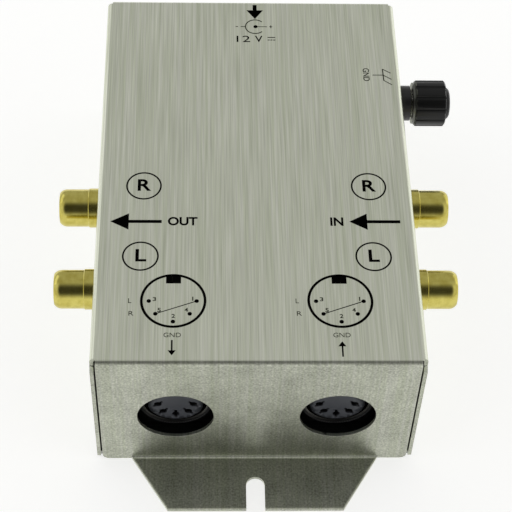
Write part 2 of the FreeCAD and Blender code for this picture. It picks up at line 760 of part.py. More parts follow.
def din_contacts(word, hand):
    """Five sleeves, each with a leg behind the block that runs down through the board."""
    pieces = []
    half = din_leg / 2
    start = din_face + din_contact_recess
    for number, (x, height, slit, row) in enumerate(din_pins(hand * din_spacing / 2)):
        name = f"{word}_din_contact_{number}"
        leg_at = din_leg_place(row)
        sleeve = rod(name + "_sleeve", (x, start, height), din_contact, leg_at - start, ROD_ALONG_Y)
        bore = rod(name + "_bore", (x, start, height), din_contact_bore, din_groove_depth, ROD_ALONG_Y)
        leg = block(name + "_leg", (x - half, leg_at - half, board_low - leg_below),
                    (x + half, leg_at + half, height))
        pieces.append(join(name, [cut(name + "_tube", sleeve, [bore]), leg]))
    keep(group(word + "_din_contact_group", pieces), word + "_din_contacts")


def phono_socket(word, hand, channel, spot):
    """One gilt phono socket: a turned shell, an insulator and a split centre contact."""
    name = f"{word}_{channel}_phono"
    at = (hand * side, spot, phono_height)
    turn = TO_RIGHT if hand > 0 else TO_LEFT
    lip = phono_shell - phono_bore
    round_radius = (phono_nose * phono_nose + lip * lip) / (2 * lip)
    shoulder = phono_reach - phono_nose
    shell = [(-phono_bush_length, phono_bush_bore), (phono_floor, phono_bush_bore), (phono_floor, phono_bore),
             (phono_reach, phono_bore, shoulder, phono_shell - round_radius), (shoulder, phono_shell),
             (phono_collar_length, phono_shell), (phono_collar_length, phono_collar), (0, phono_collar),
             (0, phono_bush), (-phono_bush_length, phono_bush)]
    keep(turned(name + "_turned_shell", shell, at, turn), name + "_shell")
    face = phono_reach - phono_insulator_recess
    seat = phono_reach - phono_contact_recess - phono_contact_depth
    insulator = [(-phono_bush_length, phono_tail + phono_fit), (seat, phono_tail + phono_fit),
                 (seat, phono_contact + phono_fit), (face, phono_contact + phono_fit),
                 (face, phono_bore - phono_fit), (phono_floor, phono_bore - phono_fit),
                 (phono_floor, phono_bush_bore - phono_fit), (-phono_bush_length, phono_bush_bore - phono_fit)]
    keep(turned(name + "_turned_insulator", insulator, at, turn), name + "_insulator")
    tail = -phono_bush_length - phono_tail_length
    mouth = phono_reach - phono_contact_recess
    floor = seat + phono_contact_floor
    contact = [(tail, 0), (floor, 0), (floor, phono_contact_bore), (mouth, phono_contact_bore),
               (mouth, phono_contact), (seat, phono_contact), (seat, phono_tail), (tail, phono_tail)]
    body = turned(name + "_turned_contact", contact, at, turn)
    slit = rectangle(floor + phono_slit_start, -phono_contact - overrun,
                     mouth + overrun, phono_contact + overrun)
    half = phono_contact_slit / 2
    for step, role in (("first", "XY_Plane"), ("second", "XZ_Plane")):
        pocket(body, f"{name}_{step}_slit", role, [slit], -half, half)
    keep(body, name + "_contact")


def hex_nut(name, flats, bore, low, high, at, turn):
    body = new_body(name, at, turn)
    pad(body, name + "_hex", "YZ_Plane", [hexagon(flats)], low, high)
    pocket(body, name + "_hole", "YZ_Plane", [(0, 0, bore)], low - overrun, high + overrun)
    return body


def solder_tag(name, x_near, x_far, spot, height, bore):
    """A ring with a tongue that hangs down, between two levels in X."""
    low, high = sorted([x_near, x_far], key=lambda level: level.value)
    ring = rod(name + "_ring", (low, spot, height), tag_radius, high - low, ROD_ALONG_X)
    half = tag_tongue / 2
    tongue = block(name + "_tongue", (low, spot - half, height - tag_tongue_length),
                   (high, spot + half, height))
    hole = rod(name + "_hole", (low, spot, height), bore, high - low, ROD_ALONG_X)
    return cut(name, join(name + "_blank", [ring, tongue]), [hole])


def phono_fixings():
    """A nut and a solder tag behind each phono socket."""
    nuts = []
    tags = []
    bore = phono_bush + phono_fit
    number = 0
    for hand in (-1, 1):
        for spot in (phono_left, phono_right):
            turn = TO_RIGHT if hand > 0 else TO_LEFT
            low = -sheet_wall - tag_wall - phono_nut_height
            at = (hand * side, spot, phono_height)
            nuts.append(hex_nut(f"phono_nut_{number}", phono_nut_flats, bore, low, low + phono_nut_height,
                                at, turn))
            tags.append(solder_tag(f"phono_tag_{number}", hand * inner_side, hand * (inner_side - tag_wall),
                                   spot, phono_height, bore))
            number += 1
    keep(group("phono_nut_group", nuts), "phono_nuts")
    keep(group("phono_tag_group", tags), "phono_solder_tags")


def power_socket():
    """The low-voltage socket on the board, its centre pin and its spring."""
    body = new_body("power_moulding")
    half = power_width / 2
    shape = rectangle(power_place - half, board_top, power_place + half, board_top + power_height)
    pad(body, "power_block", "XZ_Plane", [shape], power_back, power_front)
    floor = power_front - power_bore_depth
    pocket(body, "power_bore", "XZ_Plane", [(power_place, power_level, power_bore)],
           floor, power_front + overrun)
    pocket(body, "power_pin_hole", "XZ_Plane", [(power_place, power_level, power_pin)],
           power_back - overrun, floor + overrun)
    leg = power_leg / 2
    spring_top = power_level - power_bore
    middle = power_front - power_bore_depth / 2
    wall = power_leg_wall / 2
    slot = rectangle(power_place - leg, board_top - overrun, power_place + leg, power_level)
    pocket(body, "power_spring_slot", "XZ_Plane", [slot], middle - wall, middle + wall)
    keep(body, "power_socket_body")
    tip = power_length - power_pin_recess
    nose = 0.5
    profile = [(-power_leg_wall, 0), (-power_leg_wall, power_pin), (tip - nose, power_pin), (tip, power_pin - nose),
               (tip, 0)]
    pin = turned("power_pin_turned", profile, (power_place, power_back, power_level), TO_BACK)
    tail = block("power_pin_leg", (power_place - leg, power_back - power_leg_wall, board_low - leg_below),
                 (power_place + leg, power_back, power_level + power_pin))
    keep(join("power_pin_joined", [pin, tail]), "power_socket_pin")
    keep(block("power_spring", (power_place - leg, middle - wall, board_low - leg_below),
               (power_place + leg, middle + wall, spring_top)), "power_socket_spring")


def post_fixed_parts():
    """What stays on the case: the threaded stud, its collar, washer, tag and nut."""
    at = (side, post_place, post_height)
    seat = post_collar_length
    stop = seat + post_flange_wall
    nose = 0.5
    stud = [(-post_stud_in, 0), (-post_stud_in, post_stud), (seat, post_stud), (seat, post_flange),
            (stop, post_flange), (stop, post_stud), (post_stud_out - nose, post_stud),
            (post_stud_out, post_stud - nose), (post_stud_out, 0)]
    keep(turned("post_stud", stud, at), "ground_stud")
    bore = post_stud + post_fit
    collar = [(-sheet_wall, bore), (seat, bore), (seat, post_collar), (0, post_collar), (0, post_shoulder),
              (-sheet_wall, post_shoulder)]
    keep(turned("post_collar", collar, at), "ground_collar")
    back = -sheet_wall
    washer = back - post_washer_wall
    keep(turned("post_washer", tube_profile(washer, back, bore, post_washer), at), "ground_inner_washer")
    tag = washer - tag_wall
    keep(solder_tag("post_tag", side + washer, side + tag, post_place, post_height, bore),
         "ground_solder_tag")
    nut = hex_nut("post_nut", post_nut_flats, bore, tag - post_nut_height, tag, at, TO_RIGHT)
    keep(nut, "ground_nut")


def post_moving_parts():
    """What unscrews: the clamping ring, and the fluted knob with its threaded insert."""
    at = (side, post_place, post_height)
    bore = post_stud + post_fit
    seat = post_collar_length + post_flange_wall + post_fit
    ring = [(seat, bore), (seat + ring_wall, bore), (seat + ring_wall, ring_radius), (seat, ring_radius)]
    keep(turned("post_ring", ring, at), "ground_clamp_ring")
    base = seat + ring_wall + post_fit
    crown = base + knob_length
    peak = crown + knob_crown_height
    lip = knob_chamfer
    inner = base + knob_insert_length
    room = inner + knob_thread_room
    profile = [(base, knob_insert), (inner, knob_insert), (inner, post_stud), (room, post_stud), (room, 0), (peak, 0),
               (peak, knob_crown - knob_crown_height, crown, knob_crown - knob_crown_height), (crown, knob_crown),
               (crown, knob_radius - lip), (crown - lip, knob_radius), (base + lip, knob_radius),
               (base, knob_radius - lip)]
    body = turned("knob_turned", profile, at)
    flute = pocket(body, "knob_flute", "YZ_Plane", [(knob_radius + knob_flute_radius / 2, 0, knob_flute_radius)],
                   base - overrun, crown + flute_runout)
    pattern = body.newObject("PartDesign::PolarPattern", "knob_flute_pattern")
    pattern.Originals = [flute]
    axis = next(item for item in body.Origin.OriginFeatures if item.Role == "X_Axis")
    pattern.Axis = (axis, [""])
    pattern.Angle = 360
    pattern.setExpression("Occurrences", knob_flutes.formula)
    body.Tip = pattern
    keep(body, "ground_knob")
    keep(turned("knob_insert", tube_profile(base, inner, bore, knob_insert), at), "ground_knob_insert")


def chips():
    """Two eight-leg amplifier chips in their sockets."""
    sockets = []
    for word, hand in (("left", -1), ("right", 1)):
        middle = hand * chip_spacing / 2
        seat = board_top + chip_socket_height
        low = seat + chip_lift
        blank = block(word + "_chip_blank", (middle - chip_width / 2, chip_place - chip_length / 2, low),
                      (middle + chip_width / 2, chip_place + chip_length / 2, low + chip_wall))
        notch_floor = low + chip_wall - chip_notch_depth
        notch = rod(word + "_chip_notch", (middle, chip_place + chip_length / 2, notch_floor),
                    chip_notch, chip_wall)
        parts = [cut(word + "_chip_moulding", blank, [notch])]
        openings = [block(word + "_socket_opening",
                          (middle - chip_socket_opening / 2, chip_place - chip_length / 4, board_top),
                          (middle + chip_socket_opening / 2, chip_place + chip_length / 4, seat))]
        for number in range(4):
            y = chip_place + (number - 1.5) * lead_pitch
            for foot in (-1, 1):
                x = middle + foot * chip_row / 2
                half = chip_leg / 2
                name = f"{word}_chip_leg_{number}_{foot + 1}"
                inwards = middle + foot * chip_width / 2
                edges = sorted([inwards, x + foot * half], key=lambda edge: edge.value)
                knee = low + chip_wall / 2
                parts.append(block(name + "_arm", (edges[0], y - half, knee - half),
                                   (edges[1], y + half, knee)))
                parts.append(block(name, (x - half, y - half, seat - chip_leg_depth),
                                   (x + half, y + half, knee)))
                openings.append(block(name + "_way", (x - half, y - half, seat - chip_leg_depth - chip_leg_room),
                                      (x + half, y + half, seat)))
        keep(join(word + "_chip_joined", parts), word + "_amplifier_chip")
        socket = block(word + "_socket_blank",
                       (middle - chip_socket_width / 2, chip_place - chip_length / 2, board_top),
                       (middle + chip_socket_width / 2, chip_place + chip_length / 2, seat))
        sockets.append(cut(word + "_chip_socket", socket, openings))
    keep(group("chip_socket_group", sockets), "chip_sockets")


def can(name, x, y, radius, height):
    """An upright electrolytic capacitor with its crimp and rounded top."""
    low = height * can_crimp_start
    wide = height * can_crimp_width
    neck = radius - can_crimp
    profile = [(0, 0), (0, radius), (low, radius), (low + wide / 2, neck), (low + wide, radius),
               (height - can_corner, radius, height - can_corner, radius - can_corner), (height, radius - can_corner),
               (height, 0)]
    return turned(name, profile, (x, y, board_top), UPWARDS)


def capacitors():
    """Two large cans at the back, four small ones and eight film blocks."""
    large = [can(f"reservoir_{number}", x * reservoir_spacing / 2 - reservoir_shift, reservoir_place, reservoir_radius,
                 reservoir_height) for number, x in enumerate((-1, 1))]
    keep(group("reservoir_group", large), "reservoir_capacitors")
    small = [can(f"coupling_{number}", x, coupling_place, coupling_radius, coupling_height)
             for number, x in enumerate((-coupling_outer, -coupling_inner, coupling_inner, coupling_outer))]
    keep(group("coupling_group", small), "coupling_capacitors")
    films = []
    columns = (-film_outer, -film_inner, film_inner, film_outer)
    for number, (x, row) in enumerate([(x, row) for x in columns for row in (0, 1)]):
        y = film_place + row * (film_width + film_gap)
        films.append(block(f"film_{number}", (x - film_length / 2, y, board_top),
                           (x + film_length / 2, y + film_width, board_top + film_height)))
    keep(group("film_group", films), "film_capacitors")


def bent_wire(name, start, way, run, bend, radius):
    """A wire that runs level from its start, turns down in a quarter bend and ends on the board."""
    x, y, level = start
    along, across = way
    heading = HEADINGS[way]
    elbow = doc.addObject("Part::Torus", name + "_elbow")
    elbow.setExpression("Radius1", as_size(bend).formula)
    elbow.setExpression("Radius2", as_size(radius).formula)
    elbow.Angle3 = 90
    place(elbow, (x + along * run, y + across * run, level - bend), heading.multiply(UPRIGHT))
    reach = run + bend
    return [rod(name + "_run", start, radius, run, heading.multiply(ROD_ALONG_X)), elbow,
            rod(name + "_drop", (x + along * reach, y + across * reach, board_top),
                radius, level - bend - board_top)]


def resistor(name, x, y):
    """A leaded resistor lying along Y, with waisted body and both leads bent down."""
    level = board_top + resistor_lift + resistor_end
    half = resistor_length / 2
    cap = resistor_length / 5
    profile = [(-half, 0), (-half, resistor_end), (-half + cap, resistor_end), (-half + cap, resistor_waist),
               (half - cap, resistor_waist), (half - cap, resistor_end), (half, resistor_end), (half, 0)]
    reach = resistor_span / 2 - lead_bend
    parts = [turned(name + "_body", profile, (x, y, level), TO_BACK)]
    for foot in (-1, 1):
        parts += bent_wire(f"{name}_lead_{foot + 1}", (x, y, level), (0, foot), reach, lead_bend,
                           resistor_lead)
    return join(name, parts)


def resistors():
    columns = [resistor_left + step * resistor_pitch for step in range(3)]
    columns += [resistor_right + step * resistor_pitch for step in range(4)]
    pieces = [resistor(f"resistor_{number}", x, resistor_row) for number, x in enumerate(columns)]
    keep(group("resistor_group", pieces), "resistors")


def regulator():
    """The upright voltage regulator with its tab and three legs."""
    front = regulator_front
    half = regulator_width / 2
    low = board_top + regulator_lift
    x = regulator_place
    parts = [block("regulator_body", (x - half, front, low),
                   (x + half, front + regulator_wall, low + regulator_height)),
             block("regulator_tab", (x - half, front + regulator_wall - regulator_tab_wall, low),
                   (x + half, front + regulator_wall, low + regulator_tab_height))]
    hole = rod("regulator_hole", (x, front, low + regulator_tab_height - regulator_hole_drop),
               regulator_hole, regulator_wall,
               ROD_ALONG_Y)
    legs = [block(f"regulator_leg_{step + 1}",
                  (x + step * lead_pitch - regulator_leg / 2, front + regulator_leg_place, board_top),
                  (x + step * lead_pitch + regulator_leg / 2, front + regulator_leg_place + regulator_leg_wall, low))
            for step in (-1, 0, 1)]
    keep(join("regulator_joined", [cut("regulator_drilled", join("regulator_blank", parts), [hole])] + legs),
         "voltage_regulator")


def diode():
    """The protection diode beside the power socket."""
    x = power_place + diode_aside
    y = power_back + diode_behind
    level = board_top + diode_radius + resistor_lift
    half = diode_length / 2
    reach = resistor_span / 2 - lead_bend
    parts = [rod("diode_body", (x - half, y, level), diode_radius, diode_length, ROD_ALONG_X)]
    for foot in (-1, 1):
        parts += bent_wire(f"diode_lead_{foot + 1}", (x, y, level), (foot, 0), reach, lead_bend,
                           resistor_lead)
    keep(join("diode_joined", parts), "protection_diode")


def wires():
    """Signal wires from the phono sockets and the earth wire from the post's tag."""
    tail = side - phono_bush_length - phono_tail_length
    pieces = []
    for hand in (-1, 1):
        for spot in (phono_left, phono_right):
            name = f"signal_wire_{len(pieces)}"
            parts = bent_wire(name, (hand * tail, spot, phono_height), (-hand, 0), wire_run, wire_bend,
                              wire_radius)
            pieces.append(join(name + "_joined", parts))
    keep(group("signal_wire_group", pieces), "signal_wires")
    tag_face = inner_side - post_washer_wall - tag_wall
    level = post_height - tag_tongue_length + tag_tongue
    parts = bent_wire("earth_wire", (tag_face, post_place, level), (-1, 0), wire_run, wire_bend, wire_radius)
    keep(join("earth_wire_joined", parts), "ground_wire")


def build():
    cover()
    base_plate()
    base_screws()
    standoffs()
    board_screws()
    circuit_board()
    for word, hand in (("output", -1), ("input", 1)):
        din_socket(word, hand)
        din_shield(word, hand)
        din_contacts(word, hand)
        for channel, spot in (("left", phono_left), ("right", phono_right)):
            phono_socket(word, hand, channel, spot)
    phono_fixings()
    power_socket()
    post_fixed_parts()
    post_moving_parts()
    chips()
    capacitors()
    resistors()
    regulator()
    diode()
    wires()
    doc.recompute()


def check():
    """Stop if any object failed or any sub-part is empty or broken."""
    for thing in doc.Objects:
        if "Invalid" in thing.State or "Error" in thing.State:
            raise RuntimeError(f"{thing.Name} failed: {thing.State}")
    for thing in nodes:
        if thing.Shape.isNull() or not thing.Shape.isValid():
            raise RuntimeError(f"{thing.Label} has no valid shape")


def write():
    os.makedirs("parts", exist_ok=True)
    for thing in nodes:
        thing.Shape.exportStep(f"parts/{thing.Label}.step")
        print(thing.Label, len(thing.Shape.Solids), round(thing.Shape.Volume, 2))


build()
check()
write()
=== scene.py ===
import math

import bpy
from mathutils import Matrix, Vector


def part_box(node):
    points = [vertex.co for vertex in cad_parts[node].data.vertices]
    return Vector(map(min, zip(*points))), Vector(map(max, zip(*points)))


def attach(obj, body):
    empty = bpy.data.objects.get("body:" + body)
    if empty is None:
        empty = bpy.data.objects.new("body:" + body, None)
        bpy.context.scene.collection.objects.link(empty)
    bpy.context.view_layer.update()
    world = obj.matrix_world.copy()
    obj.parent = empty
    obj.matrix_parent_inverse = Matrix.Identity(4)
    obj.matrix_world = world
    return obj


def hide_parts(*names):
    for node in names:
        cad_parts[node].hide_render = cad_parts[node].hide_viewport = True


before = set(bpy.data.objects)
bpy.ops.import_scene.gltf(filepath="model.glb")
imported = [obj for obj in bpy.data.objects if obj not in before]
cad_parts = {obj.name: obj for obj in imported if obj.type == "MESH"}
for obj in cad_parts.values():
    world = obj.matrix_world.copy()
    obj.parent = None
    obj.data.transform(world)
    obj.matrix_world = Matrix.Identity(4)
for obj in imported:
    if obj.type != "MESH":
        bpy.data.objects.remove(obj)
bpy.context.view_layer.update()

MM = 0.001

# Places on the case in millimetres, as the solids have them
CASE_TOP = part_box("cover")[1].z / MM
CASE_SIDE = 34.0
CASE_END = 52.0
FLANGE_END = 65.0
FLANGE_ROOT = 26.7
FLANGE_SLOPE = 8.0 / (FLANGE_END - CASE_END)
DIN_PLACE = 17.0
DIN_AXIS = 16.8
DIN_FRONT = -49.5
DIN_INSERT_RADIUS = 5.8
DIN_RIM_INSIDE = 6.9
DIN_RIM_OUTSIDE = 7.6
DIN_HOLES_REACH = 28.0
PHONO_AXIS = CASE_TOP - 9.0
PHONO_PLACES = {"right": -4.7, "left": -27.0}
HANDS = {"output": -1, "input": 1}
RESISTOR_ROW = 13.5
RESISTOR_HALF = 3.2

# Round faces are shaded smooth up to this many degrees, points this near in metres are merged, and
# a turned piece has this many sides
SMOOTH_ANGLE = 30
MERGE_REACH = 1e-6
TURNED_SIDES = 96


def shade(red, green, blue):
    """A colour given as it looks on a screen, from 0 to 255, as the shader wants it."""
    linear = [value / 255 / 12.92 if value < 11 else ((value / 255 + 0.055) / 1.055) ** 2.4
              for value in (red, green, blue)]
    return (*linear, 1.0)


def millimetres(*values):
    return Vector(values) * MM


# Materials

class Wire:
    """A shader socket on which arithmetic is written as plain expressions."""

    def __init__(self, nodes, socket):
        self.nodes = nodes
        self.socket = socket

    def math(self, operation, first, second=0.0, third=0.0, clamp=False):
        return self.nodes.node("ShaderNodeMath", {"operation": operation, "use_clamp": clamp},
                               {0: first, 1: second, 2: third})

    def __add__(self, other):
        return self.math("ADD", self, other)

    __radd__ = __add__

    def __sub__(self, other):
        return self.math("SUBTRACT", self, other)

    def __rsub__(self, other):
        return self.math("SUBTRACT", other, self)

    def __mul__(self, other):
        return self.math("MULTIPLY", self, other)

    __rmul__ = __mul__

    def __pow__(self, other):
        return self.math("POWER", self, other)

    def __abs__(self):
        return self.math("ABSOLUTE", self)

    def sine(self):
        return self.math("SINE", self)

    def larger(self, other):
        return self.math("MAXIMUM", self, other)

    def between(self, low, high):
        """A soft step from 0 at low to 1 at high."""
        return self.math("MULTIPLY_ADD", self, 1 / (high - low), -low / (high - low), clamp=True)


class Nodes:
    """The nodes of one material, or of the room round the object."""

    def __init__(self, owner):
        owner.use_nodes = True
        self.tree = owner.node_tree

    def node(self, kind, settings=None, inputs=None, output=0):
        made = self.tree.nodes.new(kind)
        for word, value in (settings or {}).items():
            setattr(made, word, value)
        for key, value in (inputs or {}).items():
            self.feed(made.inputs[key], value)
        return Wire(self, made.outputs[output])

    def feed(self, socket, value):
        if isinstance(value, Wire):
            self.tree.links.new(value.socket, socket)
        else:
            socket.default_value = value

    def ray(self, kind):
        """1 where a ray of light is of this kind, and 0 elsewhere."""
        return self.node("ShaderNodeLightPath", output=kind)


class Finish(Nodes):
    """One material, with the sockets of its shader."""

    def __init__(self, name, colour, roughness, metallic=0.0, **constants):
        self.material = bpy.data.materials.new(name)
        super().__init__(self.material)
        self.shader = self.tree.nodes["Principled BSDF"]
        self.where = self.node("ShaderNodeTexCoord", output="Object")
        self.facing = self.node("ShaderNodeTexCoord", output="Normal")
        self.paint(Base_Color=colour, Roughness=roughness, Metallic=metallic, **constants)

    def paint(self, **values):
        for word, value in values.items():
            self.feed(self.shader.inputs[word.replace("_", " ")], value)

    def axes(self, vector):
        """The three numbers of a vector, a place being in millimetres."""
        split = self.node("ShaderNodeSeparateXYZ", None, {0: vector})
        parts = [Wire(self, socket) for socket in split.socket.node.outputs]
        return [part * (1 / MM) for part in parts] if vector is self.where else parts

    def point(self, x, y, z):
        return self.node("ShaderNodeCombineXYZ", None, {0: x, 1: y, 2: z})

    def grain(self, x=1.0, y=None, z=None, detail=2.0, at=None):
        """Soft noise from 0 to 1 whose blotches have about these sizes in millimetres."""
        y = x if y is None else y
        z = x if z is None else z
        scale = (1 / (x * MM), 1 / (y * MM), 1 / (z * MM))
        spread = self.node("ShaderNodeMapping", None, {"Vector": at or self.where, "Scale": scale})
        return self.node("ShaderNodeTexNoise", None, {"Vector": spread, "Scale": 1.0, "Detail": detail})

    def mix(self, factor, low, high):
        return self.node("ShaderNodeMix", {"data_type": "RGBA"}, {0: factor, 6: low, 7: high}, output=2)

    def tint(self, colour, value):
        """A colour, a constant or a wire, multiplied by a number."""
        grey = self.node("ShaderNodeCombineColor", None, {0: value, 1: value, 2: value})
        return self.node("ShaderNodeMix", {"data_type": "RGBA", "blend_type": "MULTIPLY"},
                         {0: 1.0, 6: colour, 7: grey}, output=2)

    def relief(self, height, depth):
        """Bumps of a depth in millimetres, from a height between 0 and 1."""
        self.paint(Normal=self.node("ShaderNodeBump", None, {"Strength": 1.0, "Distance": depth * MM,
                                                             "Height": height}))


def brushed_sheet():
    """Folded sheet, brushed lengthwise and rubbed matt on the ends, with painted shade on the end panels
    and flanges and painted highlights on its cut edges.
    """
    finish = Finish("case_metal", shade(222, 224, 208), 0.3, 1.0)
    x, y, z = finish.axes(finish.where)
    nx, ny, nz = [abs(part) for part in finish.axes(finish.facing)]
    facing_out = (0.45, 0.7)
    edge_on = (0.2, 0.4)
    on_side = nx.between(*facing_out)
    on_panel = ny.between(*facing_out)
    on_flange = abs(y).between(CASE_END + 0.4, CASE_END + 0.8)
    on_end = on_panel.larger(on_flange)
    squeeze = 0.014
    drawn_out = finish.point(x * MM, y * (squeeze * MM), z * (squeeze + (1 - squeeze) * on_side) * MM)
    hair = finish.grain(0.24, at=drawn_out)
    fine = finish.grain(0.55, at=drawn_out, detail=3.0)
    wide = finish.grain(3.0, at=drawn_out, detail=1.0)
    mottle = finish.grain(0.42, detail=3.0)
    cloud = finish.grain(5.0)
    streak = (hair - 0.5) * 0.6 + (fine - 0.5) * 0.22 + (wide - 0.5) * 0.1
    matt = (mottle - 0.5) * 0.85 + (cloud - 0.5) * 0.3
    # Painted highlight: the flange's cut edges, a thin strip of its top along the tapered sides and tip,
    # and the socket-hole rims are painted paler and less metallic; the bare mask carries this painted
    # highlight
    half_width = FLANGE_ROOT - (abs(y) - CASE_END) * FLANGE_SLOPE
    at_taper = (abs(x) - half_width).between(-0.45, -0.15)
    at_tip = abs(y).between(FLANGE_END - 0.4, FLANGE_END - 0.15)
    flange_edge_highlight = on_flange * (1 - nz.between(*edge_on)).larger(at_taper.larger(at_tip))
    in_panel = abs(y).between(CASE_END - 0.14, CASE_END - 0.1)
    by_holes = 1 - abs(x).between(DIN_HOLES_REACH, DIN_HOLES_REACH + 1)
    hole_edge_highlight = in_panel * (1 - ny.between(*edge_on)) * by_holes
    bare = flange_edge_highlight.larger(hole_edge_highlight * (1 - on_flange))
    colour = finish.mix(fine.between(0.35, 0.65), shade(219, 224, 202), shade(229, 231, 217))
    brushed = 1.0 + streak * (1 - on_end * 0.7)
    # Painted shade: the front and back panels and the flanges are darkened, on top of their rubbed matt
    # mottle
    mottle_and_painted_shade = matt * on_end - 0.36 * on_panel - 0.42 * on_flange
    finish.paint(Base_Color=finish.tint(colour, brushed + mottle_and_painted_shade + bare * 0.6), Metallic=1 - bare * 0.6,
                 Roughness=0.26 + 0.12 * fine + 0.15 * on_end - 0.08 * bare)
    finish.relief(hair * (1 - on_end) + fine * 0.3 + mottle * on_end * 0.6, 0.01)
    return finish.material


def plated_sheet():
    """Zinc-plated base plate with a faint spangle."""
    zinc = shade(160, 161, 158)
    finish = Finish("zinc_plate", zinc, 0.35, 1.0)
    cells = finish.node("ShaderNodeTexVoronoi", None, {"Vector": finish.where, "Scale": 220.0},
                        output="Color")
    spangle = finish.axes(cells)[0]
    scuff = finish.grain(0.6, 9.0, 0.6, detail=4.0)
    finish.paint(Base_Color=finish.tint(zinc, 0.86 + 0.2 * spangle + 0.1 * scuff),
                 Roughness=0.28 + 0.16 * spangle)
    finish.relief(scuff, 0.01)
    return finish.material


def plated_metal(name, colour, roughness, wear=0.15, size=0.4):
    """Polished or plated metal with fine handling marks."""
    finish = Finish(name, colour, roughness, 1.0)
    marks = finish.grain(size, size * 3, size, detail=4.0)
    cloud = finish.grain(size * 6, detail=1.0)
    finish.paint(Base_Color=finish.tint(colour, 1 - wear / 2 + wear * marks * 0.6 + wear * cloud * 0.4),
                 Roughness=roughness * 0.8 + marks * (roughness * 0.5))
    finish.relief(marks, 0.003)
    return finish.material


def gold_plate():
    """Gold plate over turned brass, with the faint rings of the tool."""
    finish = Finish("gold_plate", shade(206, 195, 104), 0.16, 1.0)
    rings = finish.grain(0.14, 9.0, 9.0)
    cloud = finish.grain(1.6)
    colour = finish.mix(cloud.between(0.35, 0.7), shade(214, 203, 112), shade(196, 183, 90))
    finish.paint(Base_Color=finish.tint(colour, 0.94 + 0.1 * rings),
                 Roughness=0.12 + 0.08 * rings + 0.05 * cloud)
    finish.relief(rings, 0.002)
    return finish.material


def moulding(name, colour, roughness, size=0.25, depth=0.01, spread=0.25, **constants):
    """Moulded plastic with a fine sparked texture."""
    finish = Finish(name, colour, roughness, **constants)
    spark = finish.grain(size)
    cloud = finish.grain(size * 14)
    finish.paint(Base_Color=finish.tint(colour, 1 - spread / 2 + spread * (0.6 * spark + 0.4 * cloud)),
                 Roughness=roughness - 0.06 + spark * 0.12)
    finish.relief(spark, depth)
    return finish.material


def din_moulding():
    """Black socket moulding with a greyer front insert and a rubbed rim round each opening."""
    finish = Finish("din_moulding", shade(40, 41, 42), 0.42)
    x, y, z = finish.axes(finish.where)
    across = abs(x) - DIN_PLACE
    radius = (across * across + (z - DIN_AXIS) * (z - DIN_AXIS)) ** 0.5
    spark = finish.grain(0.3, detail=3.0)
    cloud = finish.grain(2.5)
    at_front = 1 - y.between(DIN_FRONT, DIN_FRONT + 1.1)
    past_insert = radius.between(DIN_INSERT_RADIUS - 0.05, DIN_INSERT_RADIUS + 0.05)
    past_rim = radius.between(DIN_RIM_OUTSIDE - 0.05, DIN_RIM_OUTSIDE + 0.1)
    on_insert = (1 - past_insert) * at_front
    rim = radius.between(DIN_RIM_INSIDE - 0.05, DIN_RIM_INSIDE + 0.05) * (1 - past_rim) * at_front
    colour = finish.mix(on_insert, shade(15, 15, 16), shade(120, 124, 134))
    colour = finish.mix(rim * 0.4, colour, shade(84, 84, 84))
    finish.paint(Base_Color=finish.tint(colour, 0.8 + 0.24 * spark + 0.16 * cloud),
                 Roughness=0.36 + 0.2 * spark)
    finish.relief(spark, 0.012)
    return finish.material


def board_mask():
    """Black solder mask with a faint web of tracks beneath it."""
    finish = Finish("solder_mask", shade(14, 15, 15), 0.3, Coat_Weight=0.1)
    black = (0, 0, 0, 1)
    tracks = finish.node("ShaderNodeTexBrick", {"offset": 0.35, "squash": 0.6},
                         {"Vector": finish.where, "Scale": 260.0, "Mortar Size": 0.06, "Color1": black,
                          "Color2": black, "Mortar": (1, 1, 1, 1)}, output="Fac")
    cloud = finish.grain(4.0)
    edge = 1 - abs(finish.axes(finish.facing)[2]).between(0.3, 0.7)
    colour = finish.mix(tracks, shade(13, 14, 14), shade(24, 26, 25))
    colour = finish.mix(edge, colour, shade(34, 32, 26))
    finish.paint(Base_Color=finish.tint(colour, 0.85 + 0.3 * cloud), Roughness=0.26 + 0.1 * cloud)
    finish.relief(tracks, 0.02)
    return finish.material


def can_sleeve():
    """Shrink sleeve on the capacitors, with a pale stripe and a bare metal top."""
    finish = Finish("can_sleeve", shade(28, 32, 52), 0.25, Coat_Weight=0.2)
    x, y = finish.axes(finish.where)[:2]
    on_top = finish.axes(finish.facing)[2].between(0.85, 0.95)
    stripe = (x * 3.7 + y * 0.4).sine().between(0.86, 0.9) * (1 - on_top)
    scuff = finish.grain(0.5, detail=3.0)
    colour = finish.mix(stripe, shade(26, 30, 50), shade(170, 172, 178))
    colour = finish.mix(on_top, colour, shade(190, 190, 190))
    finish.paint(Base_Color=finish.tint(colour, 0.88 + 0.2 * scuff), Roughness=0.2 + 0.2 * scuff,
                 Metallic=on_top)
    finish.relief(scuff, 0.008)
    return finish.material


def resistor_coat():
    """Lacquered resistor bodies with colour bands, and tinned leads beyond the caps."""
    lacquer = shade(92, 150, 176)
    finish = Finish("resistor_coat", lacquer, 0.25, Coat_Weight=0.3)
    along = finish.axes(finish.where)[1] - RESISTOR_ROW
    bands = {-1.9: shade(120, 60, 20), -0.9: shade(10, 10, 10), 0.0: shade(190, 30, 20),
             0.9: shade(180, 130, 20), 2.1: shade(90, 40, 20)}
    colour = lacquer
    for place, band in bands.items():
        colour = finish.mix(1 - abs(along - place).between(0.2, 0.26), colour, band)
    bare = abs(along).between(RESISTOR_HALF - 0.05, RESISTOR_HALF + 0.05)
    dust = finish.grain(0.5, detail=3.0)
    colour = finish.mix(bare, colour, shade(190, 190, 188))
    finish.paint(Base_Color=finish.tint(colour, 0.9 + 0.16 * dust), Roughness=0.2 + 0.16 * dust,
                 Metallic=bare)
    finish.relief(dust, 0.006)
    return finish.material


